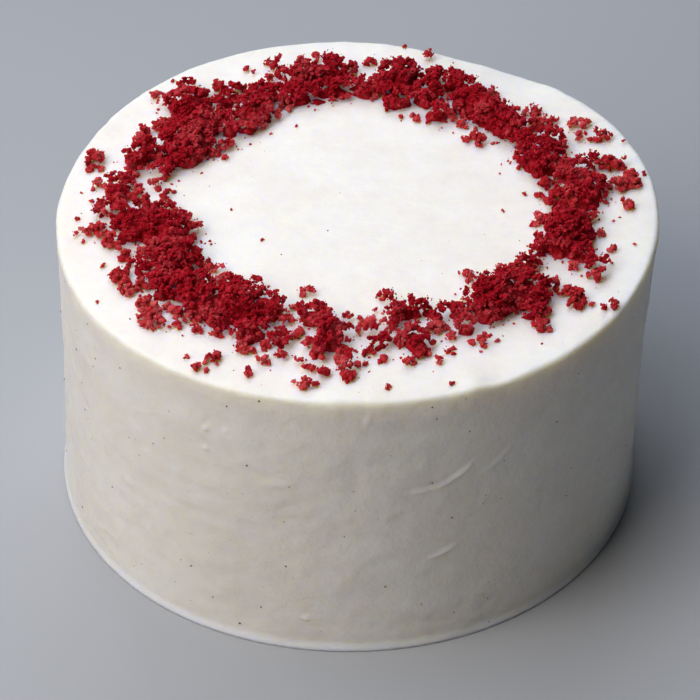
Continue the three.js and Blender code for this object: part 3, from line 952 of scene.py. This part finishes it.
@dataclass
class HeapField:
    """A set of low heaps on the cake's top, each half an ellipsoid."""

    rows: tuple  # bearing, share, half length, half width, height and, for some, the turn
    form: CakeForm
    raggedness: float  # how far noise shifts their outlines, at most, in mm
    seed: int
    outline_noise: tuple = ((0.66, 3.4), (0.34, 1.3))  # shares of that shift and sizes in mm
    filled: tuple = (3 * MM, 1 * MM)  # height of a heap from which crumbs lie deeper, and all through
    steepest: float = 3.0  # stretch of the surface up to which crumbs are strewn evenly
    step: float = 0.3 * MM  # that a slope is measured over

    def __post_init__(self) -> None:
        """Turns the rows into arrays."""
        values = np.array([(*row, 0.0)[:6] for row in self.rows], dtype=float)
        angle = np.radians(values[:, 0])
        self.x, self.y = values[:, 1] * self.form.radius * np.array([np.cos(angle), np.sin(angle)])
        along = angle + math.pi / 2 + np.radians(values[:, 5])
        self.along = np.stack([np.cos(along), np.sin(along)], axis=1)
        self.half_length, self.half_width, self.height = values[:, 2:5].T * MM

    def rise_at(self, x: np.ndarray, y: np.ndarray, shrink: float) -> np.ndarray:
        """How high the heaps stand over the cream at some places.

        The places are first shifted by noise of two sizes, which makes the outlines ragged. A
        heap's height is its own height times the root of one less the squared distance from its
        middle in half sizes. The highest heap counts.

        Args:
            x: places.
            y: places.
            shrink: how much less each heap reaches to every side.

        Returns:
            The height over the cream, and 0 where no heap reaches.
        """
        flat = np.stack(np.broadcast_arrays(x, y), axis=-1)
        broad, fine = self.outline_noise
        shift = [layered_noise(flat, ((*broad, k), (*fine, k + 1)), self.seed) for k in (0, 2)]
        x, y = x + shift[0] * self.raggedness * MM, y + shift[1] * self.raggedness * MM
        best = np.zeros(x.shape)
        for k in range(len(self.x)):
            right, up = x - self.x[k], y - self.y[k]
            along = (right * self.along[k, 0] + up * self.along[k, 1]) / (self.half_length[k] - shrink)
            across = (up * self.along[k, 0] - right * self.along[k, 1]) / (self.half_width[k] - shrink)
            inside = np.maximum(0.0, 1 - along**2 - across**2)
            best = np.maximum(best, self.height[k] * np.sqrt(inside))
        return best

    def strew(self, spacing: float, shrink: float, depth: float, draw: np.random.Generator) -> np.ndarray:
        """Random places on the heaps' surface, evenly close on level parts and on steep sides.

        Places are drawn evenly over a square round the cake. One on a heap stays with a chance that
        goes with the root of one and the squared slope there.

        Args:
            spacing: the mean distance between neighbours.
            shrink: how much less each heap reaches to every side.
            depth: how far down into the heaps they go, as a share of the height there; where a heap
                is low they go all the way.
            draw: the random draws.

        Returns:
            The places, n by 3.
        """
        count = int((2 * self.form.radius / spacing) ** 2 * self.steepest)
        x, y = draw.uniform(-self.form.radius, self.form.radius, (2, count))
        rise = self.rise_at(x, y, shrink)
        right = self.rise_at(x + self.step, y, shrink) - rise
        ahead = self.rise_at(x, y + self.step, shrink) - rise
        stretch = np.sqrt(1 + (np.hypot(right, ahead) / self.step) ** 2)
        keep = (rise > 0) & (draw.uniform(0, self.steepest, count) < stretch)
        x, y, rise = x[keep], y[keep], rise[keep]
        settled = depth + (1 - depth) * smooth_step(rise, *self.filled)
        level = self.form.height + rise * (1 - settled * draw.uniform(0, 1, len(rise)))
        return np.stack([x, y, level], axis=1)


@dataclass
class CrumbBed:
    """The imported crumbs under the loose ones: a ring with the heaps as a rough surface."""

    heaps: HeapField
    form: CakeForm
    inner: float = 0.47  # shares of the radius
    outer: float = 0.93
    columns: int = 720
    rows: int = 72
    shrink: float = 1.0 * MM
    cover: float = 2.7 * MM  # of loose crumbs over it
    sunk: float = 2.2 * MM  # where no heap stands, it lies this far under the cream's surface
    foot: float = 0.4 * MM  # of a heap, under the cream's surface
    bumps: tuple = (2.1 * MM, 1.1 * MM)  # sizes of the coarse and the fine ones
    fine_height: float = 0.7  # mm, where the coarse ones are 1 mm high
    crease: float = 0.8  # mm that the creases between them are sunk
    bumpy: tuple = (0.0, 1.5 * MM)  # rise over the cream where they are nil and full
    seed: int = 41

    def build(self, origin: np.ndarray, material: bpy.types.Material) -> bpy.types.Object:
        """Builds the bed as a closed ring.

        It lies under the heaps' surface by the loose crumbs' cover, with close-packed round bumps of
        two sizes where a heap stands. The outermost and innermost rows are joined underneath.

        Args:
            origin: the middle of the top in the scene, at floor height.
            material: the crumb.

        Returns:
            The piece.
        """
        bearing = np.linspace(0, 2 * math.pi, self.columns, endpoint=False)[None, :]
        out = self.form.radius * np.linspace(self.inner, self.outer, self.rows)[:, None]
        x, y = out * np.cos(bearing), out * np.sin(bearing)
        flat = np.stack([x, y], axis=-1)
        rise = self.heaps.rise_at(x, y, self.shrink) - self.cover
        coarse = rounded_cells(flat, self.bumps[0], self.seed + 4)
        fine = rounded_cells(flat, self.bumps[1], self.seed + 6)
        bump = (coarse + self.fine_height * fine - self.crease) * MM
        rise = rise + bump * smooth_step(rise, *self.bumpy)
        rise[0] = rise[-1] = 0.0
        z = self.form.height + np.where(rise > 0, rise - self.foot, -self.sunk)
        points = np.stack([x, y, z], axis=-1)
        lower = points[[-1, 0]] - [0, 0, self.foot]
        points = np.concatenate([points, lower])
        rows, columns = points.shape[:2]
        number = np.arange(rows * columns).reshape(rows, columns)
        below, right = np.roll(number, -1, axis=0), np.roll(number, -1, axis=1)
        corner = np.roll(below, -1, axis=1)
        quads = np.stack([number, below, corner, right], axis=-1).reshape(-1, 4)
        return mesh_piece("crumb_bed", points.reshape(-1, 3) + origin, [quads], material, Shading.FACETED)


@dataclass(frozen=True)
class Clusters:
    """Knobby crumbs, each a small cluster of grains: their middles and radii."""

    middles: np.ndarray
    radii: np.ndarray


@dataclass(frozen=True)
class GrainKind:
    """One size of grain in the clusters."""

    name: str
    radius: tuple
    count: tuple  # in the smallest and the largest cluster
    reach: tuple  # how far out they lie, as shares of the cluster's radius


GRAIN_KINDS = (
    GrainKind("coarse", (0.42 * MM, 0.86 * MM), (1.0, 4.7), (0.15, 0.9)),
    GrainKind("fine", (0.24 * MM, 0.5 * MM), (0.8, 5.0), (0.7, 1.3)),
    GrainKind("dust", (0.10 * MM, 0.22 * MM), (0.6, 3.0), (0.8, 1.6)),
)


@dataclass
class Crumbs:
    """The loose crumbs: clusters of coarse and fine grains with dust on them, and strays."""

    form: CakeForm
    spacing: float = 1.55 * MM  # of the clusters over the heaps
    loose_spacing: float = 1.15 * MM  # and in the clumps beside them
    inset: float = 0.65 * MM  # of the clusters' middles from the heaps' outline
    loose_inset: float = 0.5 * MM
    depth: float = 0.3  # how far down into the heaps they lie, as a share of the height
    loose_depth: float = 0.9
    radius: tuple = (0.55 * MM, 1.5 * MM)
    loose_radius: tuple = (0.5 * MM, 1.0 * MM)
    single_radius: tuple = (0.35 * MM, 0.7 * MM)
    skews: tuple = (1.5, 1.2, 1.0)  # of these three radii, more of them small where it is over 1
    growth: tuple = (-4 * MM, 3 * MM)  # heights over the cream where clusters are nil and full sized
    lift: float = 0.35  # of a cluster's middle off its place, as a share of its radius
    flatness: float = 0.85  # of a cluster
    rest: float = 0.3  # least height of a grain over the cream, as a share of its least half size
    grain_skew: float = 1.3
    low_rise: float = 2.9 * MM  # a heap lower than this is thin and has gaps
    gap_size: float = 1.7 * MM
    stray_count: int = 800
    stray_reach: float = 1.8 * MM
    stray_grain: tuple = (0.15 * MM, 0.5 * MM)
    stray_skew: float = 1.5
    stray_limit: float = 0.97  # share of the cake's radius that they stay within
    stray_level: float = 0.12 * MM  # of their middles over the cream
    uneven: tuple = (0.62, 1.35)  # a grain's half sizes, as shares of its radius
    jitter: float = 0.4  # of a grain's corners, as a share of its radius
    seed: int = 73
    draw: np.random.Generator = field(init=False)

    def __post_init__(self) -> None:
        """Seeds the draws."""
        self.draw = np.random.default_rng(self.seed)

    def singles(self) -> np.ndarray:
        """The places of the single crumbs on the cream, n by 3."""
        degrees, share = np.array(SINGLES).T
        angle, reach = np.radians(degrees), share * self.form.radius
        level = np.full(len(share), self.form.height)
        return np.stack([reach * np.cos(angle), reach * np.sin(angle), level], axis=1)

    def clusters(self, heaps: HeapField, loose: HeapField) -> tuple[Clusters, Clusters]:
        """The clusters over the heaps and through the loose clumps, with the single crumbs.

        Over the heaps they are smaller the lower they lie, and where a heap is low, those in the
        hollows of a noise are left out, so that the cream shows between the rest.

        Args:
            heaps: the wreath.
            loose: the clumps beside it.

        Returns:
            The clusters where the heaps are high, and those where they are low or loose.
        """
        over = heaps.strew(self.spacing, self.inset, self.depth, self.draw)
        low = heaps.rise_at(over[:, 0], over[:, 1], 0.0) < self.low_rise
        thin = low & (smooth_noise(over[:, :2], self.gap_size, self.seed + 1) >= 0)
        beside = loose.strew(self.loose_spacing, self.loose_inset, self.loose_depth, self.draw)
        single = self.singles()
        sizes = self.between(len(over), self.radius, self.skews[0])
        nil, full = self.growth
        sizes *= smooth_step(over[:, 2], self.form.height + nil, self.form.height + full)
        small = self.between(len(beside), self.loose_radius, self.skews[1])
        smallest = self.between(len(single), self.single_radius, self.skews[2])
        thin_places = np.concatenate([over[thin], beside, single])
        thin_sizes = np.concatenate([sizes[thin], small, smallest])
        return self.lifted(over[~low], sizes[~low]), self.lifted(thin_places, thin_sizes)

    def lifted(self, places: np.ndarray, radii: np.ndarray) -> Clusters:
        """Clusters whose middles lie off their places by a share of their radii."""
        return Clusters(places + [0, 0, self.lift] * radii[:, None], radii)

    def between(self, count: int, limits: tuple, skew: float) -> np.ndarray:
        """Random values between limits, more of them small where skew is over 1."""
        return limits[0] + (limits[1] - limits[0]) * self.draw.uniform(0, 1, count) ** skew

    def half_sizes(self, count: int, limits: tuple, skew: float) -> np.ndarray:
        """Random half sizes of grains on their own axes, count by 3, about a radius between limits."""
        return self.between(count, limits, skew)[:, None] * self.draw.uniform(*self.uneven, (count, 3))

    def grains(self, clusters: Clusters, kind: GrainKind) -> Chips:
        """Grains of one kind through all clusters.

        A cluster has more grains the larger it is, by the square of its radius. Each grain lies in a
        random direction that is never under the level, at a share of the cluster's radius.

        Args:
            clusters: what they make up.
            kind: their size, number and reach.

        Returns:
            The grains.
        """
        fewest, most = kind.count
        mean = fewest + (most - fewest) * (clusters.radii / self.radius[1]) ** 2
        number = np.floor(mean + self.draw.uniform(0, 1, len(mean))).astype(int)
        owner = np.repeat(np.arange(len(mean)), number)
        way = self.draw.normal(size=(len(owner), 3))
        way /= np.linalg.norm(way, axis=1, keepdims=True)
        way[:, 2] = self.flatness * np.abs(way[:, 2])
        distance = clusters.radii[owner] * self.draw.uniform(*kind.reach, len(owner))
        centres = clusters.middles[owner] + way * distance[:, None]
        sizes = self.half_sizes(len(owner), kind.radius, self.grain_skew)
        centres[:, 2] = np.maximum(centres[:, 2], self.form.height + self.rest * sizes.min(axis=1))
        return Chips(centres, sizes, random_turns(len(owner), self.draw))

    def strays(self, heaps: HeapField) -> Chips:
        """Tiny crumbs on the bare cream, thinning out away from the heaps.

        Each lies off a random heap's outline, in a random direction, by a gap whose chance falls off
        exponentially.

        Args:
            heaps: the wreath.

        Returns:
            The crumbs.
        """
        heap = self.draw.integers(0, len(heaps.x), self.stray_count)
        turn = self.draw.uniform(0, 2 * math.pi, self.stray_count)
        gap = self.draw.exponential(self.stray_reach, self.stray_count)
        along = (heaps.half_length[heap] + gap) * np.cos(turn)
        across = (heaps.half_width[heap] + gap) * np.sin(turn)
        x = heaps.x[heap] + along * heaps.along[heap, 0] - across * heaps.along[heap, 1]
        y = heaps.y[heap] + along * heaps.along[heap, 1] + across * heaps.along[heap, 0]
        on_cake = np.hypot(x, y) < self.stray_limit * self.form.radius
        level = np.full(len(x), self.form.height + self.stray_level)
        centres = np.stack([x, y, level], axis=1)[on_cake]
        sizes = self.half_sizes(len(centres), self.stray_grain, self.stray_skew)
        return Chips(centres, sizes, random_turns(len(centres), self.draw))

    def build(
        self,
        heaps: HeapField,
        loose: HeapField,
        origin: np.ndarray,
        packed: bpy.types.Material,
        thin: bpy.types.Material,
    ) -> list[bpy.types.Object]:
        """Builds the pieces.

        Args:
            heaps: the wreath.
            loose: the clumps beside it.
            origin: the middle of the top in the scene, at floor height.
            packed: the finish of the crumbs in the high heaps.
            thin: the finish of those in the low and loose ones, which let more light through; that light
                is painted into its lighter colour.

        Returns:
            The coarse grains, the fine grains and the dust of each, and the strays.
        """
        high, low = self.clusters(heaps, loose)
        # The low and loose clusters and the strays take the thin finish, whose lighter colour is painted
        # light from the cream beneath them.
        layers = [
            (f"{where}_{kind.name}", self.grains(clusters, kind), finish)
            for where, clusters, finish in (("crumb", high, packed), ("thin", low, thin))
            for kind in GRAIN_KINDS
        ]
        layers.append(("crumb_strays", self.strays(heaps), thin))
        return [
            chips.build(name, self.jitter, origin, finish, self.draw) for name, chips, finish in layers
        ]


# ---------------------------------------------------------------------------------------------
# The studio
# ---------------------------------------------------------------------------------------------


@dataclass(frozen=True)
class Softbox:
    """A square soft light that faces the cake: bearing and elevation in degrees, metres, watts."""

    name: str
    bearing: float
    elevation: float
    distance: float
    side: float
    power: float
    colour: tuple

    def build(self, aim: np.ndarray) -> bpy.types.Object:
        """Hangs the light at its distance from the aim, facing it."""
        level, up = math.radians(self.bearing), math.radians(self.elevation)
        away = Vector((math.cos(up) * math.cos(level), math.cos(up) * math.sin(level), math.sin(up)))
        lamp = bpy.data.lights.new(self.name, "AREA")
        lamp.shape = "SQUARE"
        lamp.size = self.side
        lamp.energy = self.power
        lamp.color = self.colour
        light = bpy.data.objects.new(self.name, lamp)
        light.location = Vector(aim) + away * self.distance
        light.rotation_euler = away.to_track_quat("Z", "Y").to_euler()
        bpy.context.scene.collection.objects.link(light)
        return light


@dataclass(frozen=True)
class Studio:
    """The floor, the lights and the camera."""

    form: CakeForm
    floor_half: float = 3.0
    frame_pixels: float = 700.0
    focal_pixels: float = 3000.0
    sensor: float = 36.0
    elevation: float = 39.437  # degrees that the camera looks down
    roll: float = 0.111
    distance: float = 9.9132  # radii from the camera to the middle of the top
    aim_right: float = 0.0207  # radii that the frame's middle lies from it
    aim_down: float = 0.4677
    fill: tuple = (0.016, 0.022, 0.022)
    lights: tuple = (
        Softbox("window", 217, 45, 0.9, 0.6, 5.3, (1.0, 0.955, 0.905)),
        Softbox("skylight", 180, 70, 0.9, 0.6, 3.45, (0.90, 1.03, 1.23)),
        Softbox("back_window", 95, 48, 0.9, 0.6, 3.3, (0.94, 1.0, 1.12)),
    )

    def build_floor(self) -> bpy.types.Object:
        """Lays the floor, four corners at the height that the cake stands on."""
        half = self.floor_half
        corners = np.array([[-half, -half, 0], [half, -half, 0], [half, half, 0], [-half, half, 0]])
        face = np.array([[0, 1, 2, 3]])
        floor = mesh_piece("studio_floor", corners, [face], FloorFinish().material(), Shading.FACETED)
        return floor

    def build_camera(self, origin: np.ndarray) -> bpy.types.Object:
        """Sets up the camera at the photograph's viewing angle.

        Its axes are the level view direction tipped down and rolled a little, and it stands off the
        middle of the top by its distance less the offsets of the frame's middle.

        Args:
            origin: the middle of the top in the scene, at floor height.

        Returns:
            The camera.
        """
        down, roll = math.radians(self.elevation), math.radians(self.roll)
        forward = np.array([0, math.cos(down), -math.sin(down)])
        upward = np.array([0, math.sin(down), math.cos(down)])
        sideways = np.array([1.0, 0, 0])
        right = math.cos(roll) * sideways + math.sin(roll) * upward
        up = math.cos(roll) * upward - math.sin(roll) * sideways
        offset = -forward * self.distance - right * self.aim_right - up * self.aim_down
        stand = origin + [0, 0, self.form.height] + offset * self.form.radius
        data = bpy.data.cameras.new("camera")
        data.sensor_width = self.sensor
        data.lens = self.sensor * self.focal_pixels / self.frame_pixels
        camera = bpy.data.objects.new("camera", data)
        axes = Matrix([right, up, -forward]).transposed().to_4x4()
        camera.matrix_world = Matrix.Translation(Vector(stand)) @ axes
        bpy.context.scene.collection.objects.link(camera)
        bpy.context.scene.camera = camera
        return camera

    def build(self, origin: np.ndarray) -> None:
        """Builds the floor, the camera, the lights and the dim fill from all round."""
        scene = bpy.context.scene
        self.build_floor()
        self.build_camera(origin)
        for light in self.lights:
            light.build(origin + [0, 0, self.form.height / 2])
        scene.world = bpy.data.worlds.new("fill")
        scene.world.use_nodes = True
        background = scene.world.node_tree.nodes["Background"]
        background.inputs["Color"].default_value = (*self.fill, 1.0)
        background.inputs["Strength"].default_value = 1.0
        scene.view_settings.view_transform = "Standard"
        LOG.info("studio: %d lights", len(self.lights))


def main() -> None:
    """Builds the cake: the cream, its vanilla, the crumbs, then the studio round it."""
    logging.basicConfig(level=logging.INFO, format="%(name)s %(message)s")
    form = CakeForm()
    origin = form.middle()
    # The thin crumb is a lighter copy of the crumb, with painted light from the cream shining through it.
    cream, crumb, thin_crumb = (kind.material() for kind in (CreamFinish(), CrumbFinish(), THIN_CRUMB_PAINTED_GLOW))
    coat = CreamCoat(form)
    dress(coat.build(origin, cream), Slot.CREAM, ["cake"])
    dress(VanillaSpecks(coat).build(origin, SpeckFinish().material()), Slot.CREAM, ["cake"])
    clump_nodes = [f"crumb_clump_{number:02d}" for number in range(1, len(CLUMPS) + 1)]
    heaps = HeapField(HEAPS, form, raggedness=2.1, seed=41)
    loose = HeapField(CLUMPS + CLUSTERS, form, raggedness=0.7, seed=51)
    dress(CrumbBed(heaps, form).build(origin, crumb), Slot.CRUMB, ["crumb_wreath"])
    for piece in Crumbs(form).build(heaps, loose, origin, crumb, thin_crumb):
        dress(piece, Slot.CRUMB, ["crumb_wreath", *clump_nodes])
    Studio(form).build(origin)


if __name__ == "__main__":
    main()
